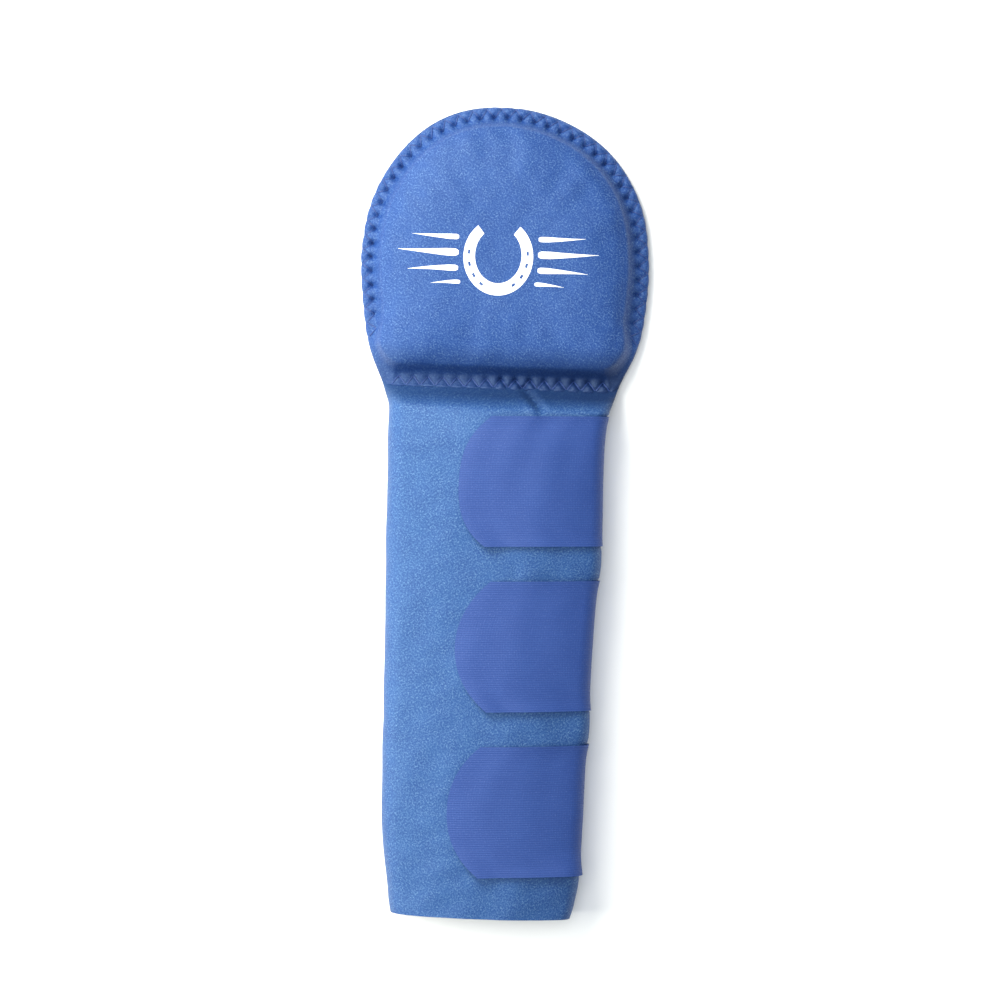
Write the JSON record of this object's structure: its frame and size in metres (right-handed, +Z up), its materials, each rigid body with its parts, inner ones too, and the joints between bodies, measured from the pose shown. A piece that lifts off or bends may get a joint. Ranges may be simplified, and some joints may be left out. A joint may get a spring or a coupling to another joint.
{
  "type": "horse tail wrap",
  "caption": "Neoprene horse tail wrap: a soft flattened tube closed by hook-tape straps, with a round padded dock guard at its upper end.",
  "frame": {"origin": "under the middle of the box round the whole part, on the surface it lies on", "axes": "lying on its back: +X towards the side that the straps come round, +Y along the length towards the dock guard, +Z up from the surface through the front"},
  "size_m": [0.1662, 0.47, 0.0386],
  "materials": {
    "wrap_face": "knitted, slightly lustrous",
    "wrap_foam": "matte closed-cell foam",
    "wrap_lining": "knitted, matte",
    "strap_1_tape": "woven, matte",
    "strap_1_hooks": "moulded hooks, matte",
    "strap_1_root": "woven, matte",
    "strap_1_stitching": "sewing thread",
    "strap_2_tape": "woven, matte",
    "strap_2_hooks": "moulded hooks, matte",
    "strap_2_root": "woven, matte",
    "strap_2_stitching": "sewing thread",
    "strap_3_tape": "woven, matte",
    "strap_3_hooks": "moulded hooks, matte",
    "strap_3_root": "woven, matte",
    "strap_3_stitching": "sewing thread",
    "guard_lining": "knitted, matte",
    "guard_base_foam": "matte closed-cell foam",
    "guard_base_face": "knitted, slightly lustrous",
    "guard_pad": "soft open-cell foam",
    "guard_cover_foam": "matte closed-cell foam",
    "guard_cover_face": "knitted, slightly lustrous",
    "rim_stitching": "sewing thread",
    "neck_stitching": "sewing thread",
    "emblem_print": "printed ink, matte"
  },
  "bodies": {
    "wrap": {"wrap_face": "wrap_face", "wrap_foam": "wrap_foam", "wrap_lining": "wrap_lining", "strap_1_root": "strap_1_root", "strap_1_stitching": "strap_1_stitching", "strap_2_root": "strap_2_root", "strap_2_stitching": "strap_2_stitching", "strap_3_root": "strap_3_root", "strap_3_stitching": "strap_3_stitching"},
    "guard": {"guard_lining": "guard_lining", "guard_base_foam": "guard_base_foam", "guard_base_face": "guard_base_face", "guard_pad": "guard_pad", "guard_cover_foam": "guard_cover_foam", "guard_cover_face": "guard_cover_face", "rim_stitching": "rim_stitching", "neck_stitching": "neck_stitching", "emblem_print": "emblem_print"},
    "strap_1": {"strap_1_tape": "strap_1_tape", "strap_1_hooks": "strap_1_hooks"},
    "strap_2": {"strap_2_tape": "strap_2_tape", "strap_2_hooks": "strap_2_hooks"},
    "strap_3": {"strap_3_tape": "strap_3_tape", "strap_3_hooks": "strap_3_hooks"}
  },
  "joints": [
    {"name": "strap_1_peel", "type": "hinge", "parent": "wrap", "child": "strap_1", "pos_m": [0.06537, 0.0188, 0.017], "axis": [0.0237, 0.9995, -0.0187], "range_deg": [0, 165]},
    {"name": "strap_2_peel", "type": "hinge", "parent": "wrap", "child": "strap_2", "pos_m": [0.06312, -0.0762, 0.0177], "axis": [0.0237, 0.9997, 0], "range_deg": [0, 165]},
    {"name": "strap_3_peel", "type": "hinge", "parent": "wrap", "child": "strap_3", "pos_m": [0.06086, -0.1712, 0.0177], "axis": [0.0237, 0.9997, 0], "range_deg": [0, 165]},
    {"name": "neck_flex", "type": "hinge", "parent": "wrap", "child": "guard", "pos_m": [0, 0.062, 0.005], "axis": [1, 0, 0], "range_deg": [-30, 60], "stiffness_Nm_per_rad": 0.6}
  ]
}
